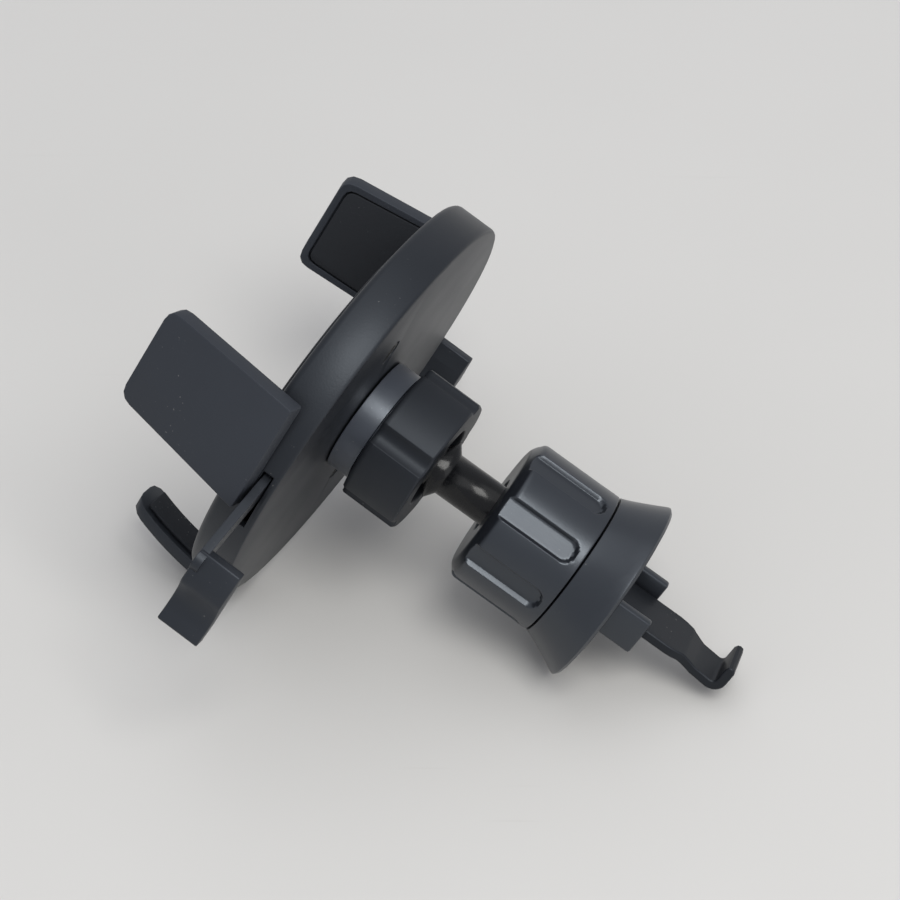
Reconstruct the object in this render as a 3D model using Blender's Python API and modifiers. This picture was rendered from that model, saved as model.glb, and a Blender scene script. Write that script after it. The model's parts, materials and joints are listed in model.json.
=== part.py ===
"""Car phone mount: a round spring-arm cradle on a ball joint, with a screw-tightened hook for an air vent.

The holder is modelled in its own axes: +X runs from the phone side back towards the vent, +Y is the
holder's up and +Z is the line from one arm to the other. The stem has the same axes, bent at the ball.
Two empties carry these axes, so the whole mount lies on its side as it rests on a table (+Z up, metres).
"""

from math import atan2, cos, pi, radians, sin

import bmesh
import bpy
from mathutils import Euler, Matrix, Vector

MM = 0.001
GAP = 0.3

# Resting pose: the holder's turn about X, Y and Z, and where its front centre stands above the table.
REST_TURN_DEG = (69.326, 21.645, -30.627)
REST_PLACE_MM = (-18.203, 5.196, 40.45)
# The ball joint's bend at rest, about the holder's Y and then Z.
BEND_DEG = (7.4, -3.4)
BALL_X = 16.5

# Cradle body
BODY_R = 37.0
BODY_THICK = 7.9
BODY_WALL = 1.8
PLATE_THICK = 1.7
BACK_INNER_X = 6.7
EDGE_ROUND = 1.2

# Arms, each on a toothed slide driven by one pinion
ARM_MID_Y = 6.4
ARM_BASE_X = 4.6
ARM_LENGTH = 25.5
ARM_BASE_WIDTH = 20.8
ARM_TIP_WIDTH = 18.6
ARM_THICK = 3.2
ARM_OUTER_Z = 41.0
ARM_LEAN_DEG = 11.5
ARM_RECESS = 1.5
PAD_THICK = 1.2
PINION_R = 5.0
PINION_TEETH = 12
TOOTH_HEIGHT = 1.3
SLIDE_X = (2.0, 3.9)
SLIDE_WIDTH = 4.0
SLIDE_TAIL = 17.0

# Release levers
LEVER_X = (4.95, 6.35)
LEVER_PIN = (6.0, 24.0)
LEVER_BEND = (-0.8, 37.0)
LEVER_TIP = (-9.6, 49.6)
LEVER_TAIL = (6.4, 7.7)
LEVER_WIDTH = 3.6
LEVER_PAD_X = (4.9, 12.6)

# Bottom foot
FOOT_WIDTH = 7.9
FOOT_THICK = 2.2
FOOT_X = (2.0, 4.2)
FOOT_TOP_Y = -20.0
FOOT_HEEL_Y = -43.6
FOOT_TIP_X = -16.4
FOOT_RISE = 3.8

# Ball joint and its lock nut
BOSS_R = 10.3
BOSS_BACK_X = 12.5
COLLAR_R = 10.1
COLLAR_BACK_X = 19.2
BALL_R = 7.5
RING_R = 8.9
NUT_R = 12.6
NUT_X = (12.9, 23.4)
NUT_LOBES = 5
NUT_GROOVE_DEG = 17.0
NUT_TURN_DEG = 60.8

# Stem side, measured from the ball's centre
NECK_R = 3.85
CORE_R = 4.8
KNOB_X = (17.7, 34.2)
KNOB_R = 13.4
KNOB_CHAMFER = (1.5, 2.1)
KNOB_WALL = 2.4
KNOB_FLUTES = 8
FLUTE_TURN_DEG = 36.0
FLARE_X = (34.5, 42.7)
FLARE_R = 16.8
FLARE_BAND = 0.9
RIB_LENGTH = 7.3

# Hook strip
HOOK_WIDTH = 10.4
HOOK_TIP_WIDTH = 8.0
HOOK_THICK = 1.7
HOOK_BEND_R = 2.5
STRIP_START_X = 34.8
HOOK_END_X = 66.4
HOOK_STEP_X = 58.8
HOOK_LIP = 3.7

SEGMENTS = 48


def clear_scene():
    """Remove every object, so that the script can be run again."""
    for item in list(bpy.data.objects):
        bpy.data.objects.remove(item, do_unlink=True)


def make_collection(name, hidden=False):
    """A collection linked to the scene."""
    made = bpy.data.collections.new(name)
    bpy.context.scene.collection.children.link(made)
    made.hide_render = hidden
    return made


def make_material(name, colour, roughness, metallic=0.0):
    """A Principled material with one colour."""
    made = bpy.data.materials.new(name)
    made.use_nodes = True
    shader = made.node_tree.nodes["Principled BSDF"]
    shader.inputs["Base Color"].default_value = (*colour, 1.0)
    shader.inputs["Roughness"].default_value = roughness
    shader.inputs["Metallic"].default_value = metallic
    made.diffuse_color = (*colour, 1.0)
    return made


clear_scene()
PARTS = make_collection("car_phone_mount")
CUTTERS = make_collection("cutters", hidden=True)
SATIN = make_material("satin_plastic", (0.030, 0.033, 0.040), 0.52)
MATTE = make_material("matte_plastic", (0.040, 0.043, 0.050), 0.62)
GLOSS = make_material("gloss_plastic", (0.012, 0.013, 0.016), 0.22)
RUBBER = make_material("rubber", (0.022, 0.024, 0.030), 0.80)
STEEL = make_material("steel", (0.60, 0.60, 0.60), 0.30, 1.0)
BRASS = make_material("brass", (0.70, 0.52, 0.25), 0.32, 1.0)


def axes_empty(name, parent=None, place=(0, 0, 0), turn=None):
    """An empty that carries a set of axes; place is in millimetres."""
    made = bpy.data.objects.new(name, None)
    PARTS.objects.link(made)
    made.parent = parent
    made.rotation_euler = turn or Euler((0, 0, 0))
    made.location = Vector(place) * MM
    return made


def link(name, mesh, material, parent, place=(0, 0, 0)):
    """A part from a mesh in millimetres, with its own origin at place under the parent."""
    made = bpy.data.objects.new(name, mesh)
    mesh.transform(Matrix.Scale(MM, 4) @ Matrix.Translation(-Vector(place)))
    mesh.materials.clear()
    mesh.materials.append(material)
    PARTS.objects.link(made)
    made.parent = parent
    made.location = Vector(place) * MM
    mesh.shade_smooth()
    mesh.set_sharp_from_angle(angle=radians(32))
    return made


def evaluated_mesh(item):
    """The item's mesh with its modifiers applied, in the axes it was drawn in; the item is removed."""
    bpy.context.view_layer.update()
    graph = bpy.context.evaluated_depsgraph_get()
    mesh = bpy.data.meshes.new_from_object(item.evaluated_get(graph))
    mesh.transform(item.matrix_world)
    bpy.data.objects.remove(item, do_unlink=True)
    return mesh


def scratch(mesh_or_curve):
    """A working object in the cutters' collection."""
    made = bpy.data.objects.new("work", mesh_or_curve)
    CUTTERS.objects.link(made)
    made.display_type = "WIRE"
    made.hide_render = True
    return made


def box(low, high):
    """A box between two corners."""
    bpy.ops.mesh.primitive_cube_add(size=1)
    cube = bpy.context.active_object
    cube.location = [(a + b) / 2 for a, b in zip(low, high)]
    cube.scale = [b - a for a, b in zip(low, high)]
    return evaluated_mesh(cube)


def turned(outline, segments=SEGMENTS, centre=(0, 0)):
    """A turned solid about X through (y, z) = centre, from a closed outline of (x, radius) points."""
    area = sum(a[0] * b[1] - b[0] * a[1] for a, b in zip(outline, outline[1:] + outline[:1]))
    points = outline if area > 0 else outline[::-1]
    mesh = bpy.data.meshes.new("outline")
    count = len(points)
    edges = [(i, (i + 1) % count) for i in range(count)]
    mesh.from_pydata([(x, r, 0) for x, r in points], edges, [])
    item = scratch(mesh)
    item.location = (0, centre[0], centre[1])
    screw = item.modifiers.new("turn", "SCREW")
    screw.axis = "X"
    screw.steps = screw.render_steps = segments
    screw.use_merge_vertices = True
    screw.merge_threshold = 0.0001
    screw.use_normal_calculate = True
    made = evaluated_mesh(item)
    return faced_out(made)


def faced_out(mesh):
    """The mesh with its faces pointing out."""
    mesh.calc_loop_triangles()
    volume = sum(
        Vector(mesh.vertices[t.vertices[0]].co).dot(
            Vector(mesh.vertices[t.vertices[1]].co).cross(Vector(mesh.vertices[t.vertices[2]].co))
        )
        for t in mesh.loop_triangles
    )
    if volume < 0:
        mesh.flip_normals()
    return mesh


def rod(radius, x_range, centre=(0, 0), segments=20):
    """A round bar along X."""
    x0, x1 = x_range
    return turned([(x0, 0), (x0, radius), (x1, radius), (x1, 0)], segments, centre)


def plate(outline, depth, plane="yz"):
    """A flat outline extruded between two depths. Plane yz runs the depth along X, and xy along Z."""
    curve = bpy.data.curves.new("outline", "CURVE")
    curve.dimensions = "2D"
    curve.fill_mode = "BOTH"
    curve.extrude = (depth[1] - depth[0]) / 2
    spline = curve.splines.new("POLY")
    spline.points.add(len(outline) - 1)
    for point, (a, b) in zip(spline.points, outline):
        point.co = (a, b, 0, 1)
    spline.use_cyclic_u = True
    item = scratch(curve)
    middle = (depth[0] + depth[1]) / 2
    if plane == "yz":
        item.matrix_world = Matrix(((0, 0, 1, middle), (1, 0, 0, 0), (0, 1, 0, 0), (0, 0, 0, 1)))
    elif plane == "xz":
        item.matrix_world = Matrix(((1, 0, 0, 0), (0, 0, -1, middle), (0, 1, 0, 0), (0, 0, 0, 1)))
    else:
        item.matrix_world = Matrix.Translation((0, 0, middle))
    return welded(evaluated_mesh(item))


def welded(mesh):
    """The mesh with its caps joined to its sides."""
    work = bmesh.new()
    work.from_mesh(mesh)
    bmesh.ops.remove_doubles(work, verts=work.verts, dist=0.0005)
    bmesh.ops.recalc_face_normals(work, faces=work.faces)
    work.to_mesh(mesh)
    work.free()
    return mesh


def combine(base, others, operation="DIFFERENCE"):
    """The base mesh cut by, or joined with, the others in turn."""
    item = scratch(base)
    tools = [scratch(mesh) for mesh in others]
    for tool in tools:
        change = item.modifiers.new("shape", "BOOLEAN")
        change.operation = operation
        change.solver = "EXACT"
        change.object = tool
    mesh = evaluated_mesh(item)
    for tool in tools:
        bpy.data.objects.remove(tool, do_unlink=True)
    return mesh


def rounded(mesh, width, angle_deg=35, segments=2):
    """The mesh with its sharp edges rounded."""
    item = scratch(mesh)
    bevel = item.modifiers.new("round", "BEVEL")
    bevel.width = width
    bevel.segments = segments
    bevel.limit_method = "ANGLE"
    bevel.angle_limit = radians(angle_deg)
    bevel.use_clamp_overlap = True
    return evaluated_mesh(item)


def mirrored(mesh):
    """A copy of the mesh mirrored across the holder's middle, Z to -Z."""
    copy = mesh.copy()
    copy.transform(Matrix.Scale(-1, 4, (0, 0, 1)))
    copy.flip_normals()
    return copy


def circle(radius, centre=(0, 0), segments=24, start_deg=0, sweep_deg=360):
    """Points on an arc, the end point left off when the arc is a whole circle."""
    whole = sweep_deg == 360
    count = segments if whole else segments + 1
    turns = [radians(start_deg + sweep_deg * i / segments) for i in range(count)]
    return [(centre[0] + radius * cos(t), centre[1] + radius * sin(t)) for t in turns]


def round_corner(corner, before, after, radius, segments=3):
    """Points that round one corner of an outline."""
    here = Vector(corner)
    to_before = (Vector(before) - here).normalized()
    to_after = (Vector(after) - here).normalized()
    start, end = here + to_before * radius, here + to_after * radius
    points = []
    for i in range(segments + 1):
        t = i / segments
        points.append(tuple((1 - t) ** 2 * start + 2 * t * (1 - t) * here + t**2 * end))
    return points


def rounded_outline(corners):
    """An outline from (a, b, radius) corners."""
    made = []
    for i, (a, b, radius) in enumerate(corners):
        before, after = corners[i - 1][:2], corners[(i + 1) % len(corners)][:2]
        made += round_corner((a, b), before, after, radius) if radius else [(a, b)]
    return made


# ---------------------------------------------------------------- cradle body


def rack_y(side):
    """The Y range of the slide that carries the arm on this side (+1 is +Z)."""
    pitch = ARM_MID_Y - side * PINION_R
    return (pitch - SLIDE_WIDTH, pitch) if side > 0 else (pitch, pitch + SLIDE_WIDTH)


COVER_SCREWS = [(18.3, 10.5), (-18.3, -10.5)]


def rear_cover_mesh():
    """The cup that makes the rim and the back, with its slots and screw holes."""
    r, t = BODY_R, BODY_THICK
    rim = [(EDGE_ROUND * (1 - cos(a)), r - EDGE_ROUND * (1 - sin(a))) for a in (0, pi / 6, pi / 3, pi / 2)]
    back = [(t - 0.7, r), (t - 0.2, r - 0.2), (t, r - 0.7)]
    inside = [(t, 6.3), (BACK_INNER_X, 6.3), (BACK_INNER_X, r - BODY_WALL), (0, r - BODY_WALL)]
    cup = turned(rim + back + inside, 72)
    cuts = []
    for side in (1, -1):
        low, high = rack_y(side)
        z = sorted((side * 29, side * 39))
        cuts.append(box((SLIDE_X[0] - GAP, low - GAP, z[0]), (SLIDE_X[1] + GAP, high + GAP, z[1])))
        z = sorted((side * 30, side * 40))
        cuts.append(box((LEVER_X[0] - GAP, -8.8, z[0]), (LEVER_X[1] + GAP - 0.01, 2.6, z[1])))
    half = FOOT_WIDTH / 2 + GAP
    cuts.append(box((FOOT_X[0] - GAP, -39, -half), (FOOT_X[1] + GAP, -33, half)))
    for centre in COVER_SCREWS:
        cuts.append(rod(1.3, (BACK_INNER_X - 0.5, t + 0.5), centre, 16))
        cuts.append(rod(2.3, (t - 0.7, t + 0.5), centre, 20))
    return combine(cup, cuts)


def front_cover_mesh():
    """The front plate with its screw posts."""
    r = BODY_R - BODY_WALL - GAP
    front = turned([(0.2, 0), (0.2, r - 0.3), (0.5, r), (PLATE_THICK, r), (PLATE_THICK, 0)], 64)
    posts = [rod(2.4, (PLATE_THICK - 0.3, BACK_INNER_X - GAP), c, 18) for c in COVER_SCREWS]
    holes = [rod(1.25, (PLATE_THICK + 0.2, BACK_INNER_X), c, 16) for c in COVER_SCREWS]
    return combine(combine(front, posts, "UNION"), holes)


def build_body(holder):
    """The cradle's covers, front pad and screws."""
    link("rear_cover", rear_cover_mesh(), SATIN, holder)
    link("front_cover", front_cover_mesh(), SATIN, holder)
    pad = turned([(-1.1, 0), (-1.1, 30.4), (-0.8, 31), (-0.1, 31), (-0.1, 0)], 56)
    link("front_pad", pad, RUBBER, holder)
    for number, centre in enumerate(COVER_SCREWS, 1):
        x = BODY_THICK - 0.5
        shape = [(2.4, 0), (2.4, 0.95), (x, 0.95), (x, 1.95), (x + 0.4, 1.95), (x + 0.4, 0)]
        screw = turned(shape, 16, centre)
        slot = box((x + 0.1, centre[0] - 1.4, centre[1] - 0.25), (x + 1, centre[0] + 1.4, centre[1] + 0.25))
        link(f"cover_screw_{number}", combine(screw, [slot]), STEEL, holder)


# ---------------------------------------------------------------- arms


def arm_axes():
    """The plate's own axes: along its length from the base, across it, and out through its face."""
    lean = radians(ARM_LEAN_DEG)
    return Matrix(
        (
            (cos(lean), 0, -sin(lean), ARM_BASE_X),
            (0, 1, 0, ARM_MID_Y),
            (sin(lean), 0, cos(lean), ARM_OUTER_Z - ARM_THICK),
            (0, 0, 0, 1),
        )
    )


def arm_outline(inset=0.0, base_inset=0.0):
    """The arm's face from its base at 0 to its tip, with rounded tip corners."""
    length = ARM_LENGTH / cos(radians(ARM_LEAN_DEG))
    base, tip = ARM_BASE_WIDTH / 2 - inset, ARM_TIP_WIDTH / 2 - inset
    corner = 2.4 - inset * 0.5
    return rounded_outline(
        [
            (-base_inset, -base, 0.5),
            (-base_inset, base, 0.5),
            (-length + inset, tip, corner),
            (-length + inset, -tip, corner),
        ]
    )


def build_arms(holder):
    """Both arms, their grip pads, their toothed slides and the pinion between them."""
    axes = arm_axes()
    body = plate(arm_outline(), (0, ARM_THICK), "xy")
    body = rounded(body, 0.35)
    recess = plate(arm_outline(1.2, 5.4), (-1, ARM_RECESS), "xy")
    arm = combine(body, [recess])
    arm.transform(axes)
    notch_y = rack_y(1)
    key = box((SLIDE_X[0] - GAP, notch_y[0] - GAP, 30), (SLIDE_X[1] + GAP, notch_y[1] + GAP, 38.6))
    pad = plate(arm_outline(1.55, 5.75), (ARM_RECESS - GAP - PAD_THICK, ARM_RECESS - GAP), "xy")
    pad = rounded(pad, 0.25)
    pad.transform(axes)
    for side, name in ((1, "left"), (-1, "right")):
        slide_y = rack_y(side)
        if side > 0:
            cut = key
        else:
            cut = box(
                (SLIDE_X[0] - GAP, slide_y[0] - GAP, 30), (SLIDE_X[1] + GAP, slide_y[1] + GAP, 38.6)
            )
        shape = combine(arm.copy(), [cut])
        grip = pad.copy()
        slide = slide_mesh(side)
        if side < 0:
            shape, grip = mirrored(shape), mirrored(grip)
        link(f"arm_{name}", shape, MATTE, holder)
        link(f"arm_pad_{name}", grip, RUBBER, holder)
        link(f"arm_slide_{name}", slide, SATIN, holder)
    link("pinion", pinion_mesh(), SATIN, holder, (SLIDE_X[0], ARM_MID_Y, 0))
    pin = rod(1.2, (PLATE_THICK + GAP, BACK_INNER_X - GAP), (ARM_MID_Y, 0), 18)
    link("pinion_pin", pin, STEEL, holder, (SLIDE_X[0], ARM_MID_Y, 0))


def slide_mesh(side):
    """A flat bar with rack teeth along the edge that faces the pinion."""
    low, high = rack_y(side)
    pitch = 2 * pi * PINION_R / PINION_TEETH
    start, end = -SLIDE_TAIL, 38.3
    edge = high if side > 0 else low
    inward = 1 if side > 0 else -1
    root = edge - inward * (TOOTH_HEIGHT / 2 + 0.15)
    tip = edge + inward * (TOOTH_HEIGHT / 2 - 0.15)
    back = low if side > 0 else high
    points = [(back, start), (root, start)]
    first = -int((SLIDE_TAIL - 1) / pitch)
    for k in range(first, 2):
        middle = (k + 0.5) * pitch
        shape = ((root, -0.30), (tip, -0.16), (tip, 0.16), (root, 0.30))
        points += [(y, middle + share * pitch) for y, share in shape]
    points += [(root, end), (back, end)]
    points = [(y, side * z) for y, z in points]
    return plate(points, SLIDE_X)


def pinion_mesh():
    """The gear that couples the two slides, with a taller ratchet hub that the levers catch."""
    points = []
    step = 2 * pi / PINION_TEETH
    root, tip = PINION_R - TOOTH_HEIGHT / 2 - 0.15, PINION_R + TOOTH_HEIGHT / 2 - 0.15
    for k in range(PINION_TEETH):
        for radius, share in ((root, -0.34), (root, -0.24), (tip, -0.13), (tip, 0.13), (root, 0.24)):
            turn = k * step + share * step
            points.append((ARM_MID_Y + radius * sin(turn), radius * cos(turn)))
    gear = plate(points, SLIDE_X)
    hub = rod(4.2, (SLIDE_X[1] - 0.2, BACK_INNER_X - 2 * GAP), (ARM_MID_Y, 0), 24)
    bore = rod(1.2 + GAP, (0, 10), (ARM_MID_Y, 0), 18)
    return combine(combine(gear, [hub], "UNION"), [bore])


# ---------------------------------------------------------------- release levers


def bar_outline(start, end, width):
    """A straight bar with round ends between two (y, z) points."""
    turn = atan2(end[1] - start[1], end[0] - start[0])
    half = width / 2
    ends = []
    for centre, first in ((end, turn - pi / 2), (start, turn + pi / 2)):
        for i in range(7):
            a = first + pi * i / 6
            ends.append((centre[0] + half * cos(a), centre[1] + half * sin(a)))
    return ends


def lever_pad_outline():
    """The thumb pad seen along X: a ridge across it and a shallow dish below."""
    y, z = LEVER_TIP
    return [
        (y + 2.2, z - 1.4),
        (y + 2.2, z + 0.6),
        (y - 1.5, z + 1.5),
        (y - 3.4, z + 1.9),
        (y - 4.4, z + 1.6),
        (y - 6.0, z + 0.8),
        (y - 8.0, z + 0.6),
        (y - 10.2, z + 1.1),
        (y - 12.0, z + 2.0),
        (y - 12.4, z + 1.5),
        (y - 12.2, z - 0.3),
        (y - 9.0, z - 1.6),
        (y - 5.0, z - 1.7),
        (y - 1.0, z - 1.8),
    ]


def build_levers(holder):
    """Both squeeze levers with their pins and return springs."""
    x0, x1 = LEVER_X
    arm = plate(bar_outline(LEVER_PIN, LEVER_BEND, LEVER_WIDTH), LEVER_X)
    tail = plate(bar_outline(LEVER_TAIL, LEVER_PIN, 2.6), (x0 + 0.15, x1 - 0.15))
    reach = plate(bar_outline(LEVER_BEND, LEVER_TIP, LEVER_WIDTH + 0.2), (x0 - 0.04, x1 + 0.04))
    hub = rod(3.0, (x0 - 0.3, x1 + 0.05), LEVER_PIN, 22)
    pad = rounded(plate(lever_pad_outline(), LEVER_PAD_X), 0.45, 50)
    lever = combine(arm, [tail, reach, hub, pad], "UNION")
    lever = combine(lever, [rod(1.5, (0, 9), LEVER_PIN, 18)])
    pin = rod(1.2, (PLATE_THICK + GAP, BACK_INNER_X - GAP), LEVER_PIN, 18)
    leaf = [(14.4, 21.0), (14.4, 20.6), (12.2, 14.5), (11.5, 12.2)]
    leaf += [(11.7, 11.9), (12.6, 14.2), (14.8, 20.4), (14.8, 21.0)]
    spring = plate(leaf, (4.7, 6.1))
    for side, name in ((1, "left"), (-1, "right")):
        place = (LEVER_X[0], LEVER_PIN[0], side * LEVER_PIN[1])
        copies = [mesh if side > 0 else mirrored(mesh) for mesh in (lever.copy(), pin.copy(), spring.copy())]
        link(f"release_lever_{name}", copies[0], SATIN, holder, place)
        link(f"lever_pin_{name}", copies[1], STEEL, holder, place)
        link(f"lever_spring_{name}", copies[2], STEEL, holder)


# ---------------------------------------------------------------- bottom foot


def foot_line(share):
    """The toe's lower surface, from the heel at 0 to the tip at 1."""
    x = FOOT_X[1] + (FOOT_TIP_X - FOOT_X[1]) * share
    return x, FOOT_HEEL_Y - FOOT_THICK * 0.3 + FOOT_RISE * share**2.2


def build_foot(holder):
    """The sliding bottom foot and the soft strip on its toe."""
    steps = [i / 9 for i in range(10)]
    under = [foot_line(s) for s in steps]
    over = [(x, y + FOOT_THICK) for x, y in under if x < FOOT_X[0] - 1.2]
    shank = [(FOOT_X[0], FOOT_HEEL_Y + FOOT_THICK + 1.0), (FOOT_X[0], FOOT_TOP_Y), (FOOT_X[1], FOOT_TOP_Y)]
    side_view = [(FOOT_X[1], FOOT_HEEL_Y + 0.6)] + under[1:] + over[::-1] + shank
    half = FOOT_WIDTH / 2
    toe = plate(side_view, (-half, half), "xy")
    tip = FOOT_TIP_X - 0.1
    trim = [(tip, -half - 0.1, 3.2), (tip, half + 0.1, 3.2), (9, half + 0.1, 0), (9, -half - 0.1, 0)]
    toe = combine(toe, [plate(rounded_outline(trim), (-60, -10), "xz")], "INTERSECT")
    link("bottom_foot", rounded(toe, 0.55, 50), SATIN, holder)
    top = [(x, y + FOOT_THICK + GAP) for x, y in under if FOOT_TIP_X + 1.0 < x < FOOT_X[0] - 2.5]
    strip = top + [(x, y + 0.6) for x, y in top[::-1]]
    half = FOOT_WIDTH / 2 - 1.1
    soft = plate(strip, (-half, half), "xy")
    link("foot_pad", rounded(soft, 0.15, 50), RUBBER, holder)


# ---------------------------------------------------------------- ball joint


def ball_arc(radius, start_x, end_x, centre_x=BALL_X, count=8):
    """Points (x, r) on a sphere between two X positions."""
    points = []
    for i in range(count + 1):
        x = start_x + (end_x - start_x) * i / count
        points.append((x, max(0.0, radius**2 - (x - centre_x) ** 2) ** 0.5))
    return points


def build_socket(holder):
    """The threaded boss on the back, the seat ring round the ball and the lock nut."""
    t = BODY_THICK
    cup = [(t + GAP, BOSS_R), (BOSS_BACK_X, BOSS_R), (BOSS_BACK_X, COLLAR_R - 0.4)]
    crest = BOSS_BACK_X + 0.7
    while crest < COLLAR_BACK_X - 0.8:
        cup += [(crest, COLLAR_R - 0.4), (crest + 0.35, COLLAR_R), (crest + 0.7, COLLAR_R - 0.4)]
        crest += 1.5
    cup += [(COLLAR_BACK_X, COLLAR_R - 0.4), (COLLAR_BACK_X, RING_R + GAP)]
    cup += [(10.6, RING_R + GAP), (10.6, 5.2), (8.5, 3.6), (8.5, 0), (BACK_INNER_X, 0)]
    cup += [(BACK_INNER_X, 6.0), (t + GAP, 6.0)]
    link("socket_boss", turned(cup, 48), SATIN, holder)
    seat = ball_arc(BALL_R + GAP, 12.9, 19.0)
    ring = [(12.9, RING_R), (19.0, RING_R)] + seat[::-1]
    ring = combine(turned(ring, 40), [box((10, 5, -0.7), (22, 12, 0.7))])
    link("ball_seat", ring, GLOSS, holder, (BALL_X, 0, 0))
    link("lock_nut", lock_nut_mesh(), SATIN, holder, (BALL_X, 0, 0))


def lobed_outline(radius, lobes, groove_deg, depth, turn_deg):
    """Lobes with nearly flat lands, sharp at their edges, and a soft groove between each two."""
    points = []
    step = 360 / lobes
    land = step - groove_deg
    for k in range(lobes):
        middle = turn_deg + k * step
        for i in range(7):
            across = (i / 6 - 0.5) * land
            points.append((radius - 0.35 * cos(radians(across * 180 / land)), middle + across))
        for i in range(1, 5):
            across = land / 2 + groove_deg * i / 5
            points.append((radius - depth * sin(pi * i / 5) ** 0.7, middle + across))
    return [(r * sin(radians(a)), r * cos(radians(a))) for r, a in points]


def lock_nut_mesh():
    """The lobed nut that clamps the ball, threaded inside and open at the back for the neck."""
    x0, x1 = NUT_X
    body = plate(lobed_outline(NUT_R, NUT_LOBES, NUT_GROOVE_DEG, 1.0, NUT_TURN_DEG), (x0, x1))
    blank = [(x0 - 1, 0), (x0 - 1, 14), (x1 - 0.4, 14), (x1 - 0.4, NUT_R), (x1, NUT_R - 0.5), (x1, 0)]
    end = turned(blank, 60)
    bore = [(x0 - 1, 0), (x0 - 1, COLLAR_R + GAP), (COLLAR_BACK_X + GAP, COLLAR_R + GAP)]
    bore += [(COLLAR_BACK_X + GAP, 7.4), (x1 + 1, 7.4), (x1 + 1, 0)]
    return combine(combine(body, [end], "INTERSECT"), [turned(bore, 48)])


# ---------------------------------------------------------------- stem, knob and vent hook


def build_stem(stem):
    """The ball and neck, with the threaded core and the hook fixed in it."""
    arc = ball_arc(BALL_R, -BALL_R, (BALL_R**2 - NECK_R**2) ** 0.5, 0, 12)
    shape = arc + [(7.6, NECK_R + 1.75), (8.9, NECK_R), (19.6, NECK_R), (20.2, CORE_R)]
    crest = 21.2
    while crest < 33.0:
        shape += [(crest, CORE_R), (crest + 0.5, CORE_R - 0.45), (crest + 1.0, CORE_R)]
        crest += 2.4
    shape += [(41.0, CORE_R), (41.0, 0)]
    core = turned(shape, 40)
    slot_z = HOOK_WIDTH / 2
    slot = box((STRIP_START_X - GAP, -HOOK_THICK / 2 - GAP, -slot_z), (45, HOOK_THICK / 2 + GAP, slot_z))
    cross = box((36.3, -6, -1.2), (39.1, 6, 1.2))
    link("ball_stem", combine(core, [slot, cross]), GLOSS, stem)
    key = box((36.6, -4.4, -0.9), (38.8, 4.4, 0.9))
    hole = box((36.3, -2, -1.2), (39.1, 2, 1.2))
    link("hook_strip", combine(hook_mesh(), [hole]), SATIN, stem)
    link("hook_key", key, STEEL, stem)


def hook_mesh():
    """The strip: a flat tongue that narrows, drops and turns up into a short lip."""
    half, top = HOOK_THICK / 2, HOOK_THICK / 2
    end, step = HOOK_END_X, HOOK_STEP_X
    drop = 1.3
    radius = HOOK_BEND_R
    centre = (end - radius, radius - half - drop)
    side = [(STRIP_START_X, -half), (step - 1.5, -half), (step + 1.5, -half - drop * 0.7)]
    side += circle(radius, centre, 6, -90, 90)
    lip = HOOK_LIP
    side += [(end, lip - 0.8), (end - 0.35, lip - 0.15), (end - 0.9, lip)]
    side += [(end - 1.4, lip - 0.2), (end - HOOK_THICK, lip - 0.8)]
    side += circle(radius - HOOK_THICK, centre, 4, 0, -90)
    side += [(step + 1.8, top - drop * 0.8), (step - 1.2, top)]
    side += [(STRIP_START_X, top)]
    strip = plate(side, (-HOOK_WIDTH / 2, HOOK_WIDTH / 2), "xy")
    wide, narrow = HOOK_WIDTH / 2, HOOK_TIP_WIDTH / 2
    shoulder = [(step - 4.0, wide + 0.01), (step - 2.6, wide - 0.2), (step - 0.6, narrow + 0.35)]
    shoulder += [(step + 1.0, narrow + 0.1), (end - 2, narrow), (end + 2, narrow), (end + 2, wide + 3)]
    shoulder += [(step - 4.0, wide + 3)]
    cuts = [plate(shoulder, (-10, 10), "xz")]
    cuts.append(plate([(x, -z) for x, z in shoulder], (-10, 10), "xz"))
    return rounded(combine(strip, cuts), 0.2, 60, 1)


def build_flare(stem):
    """The flared base that presses on the vent, its soft ring and the retaining clip."""
    x0, x1 = FLARE_X
    count = 8
    side = []
    for i in range(count + 1):
        s = i / count
        side.append((x0 + (x1 - FLARE_BAND - x0) * s, KNOB_R + (FLARE_R - KNOB_R) * s**1.12))
    outer = side + [(x1 - 0.5, FLARE_R + 0.1), (x1, FLARE_R - 0.4)]
    inner = [(x1, FLARE_R - 1.6), (x1 - 0.9, FLARE_R - 1.6), (x1 - 0.9, CORE_R + GAP)]
    inner += [(x0 - 5.6, CORE_R + GAP)]
    inner += [(x0 - 5.6, CORE_R + 1.6), (x0, CORE_R + 1.6)]
    shell = turned(outer + inner, 56)
    high, wide = HOOK_THICK / 2 + GAP, HOOK_WIDTH / 2 + GAP
    channel = box((x0 - 7, -high, -wide), (x1 + 1, high, wide))
    ribs = []
    for z in (-1, 1):
        low, high = sorted((z * (HOOK_WIDTH / 2 + 2 * GAP), z * (HOOK_WIDTH / 2 + 2.4)))
        ribs.append(box((x1 - 1.4, -3.4, low), (x1 + RIB_LENGTH, 3.6, high)))
    ribs = [rounded(rib, 0.45, 50) for rib in ribs]
    base = combine(combine(shell, ribs, "UNION"), [channel])
    link("flare_base", base, SATIN, stem)
    pad = turned(
        [(x1 - 0.6, FLARE_R - 1.9), (x1 + 0.3, FLARE_R - 2.2), (x1 + 0.3, 10.6), (x1 - 0.6, 10.6)], 48
    )
    link("flare_pad", pad, RUBBER, stem)


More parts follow.
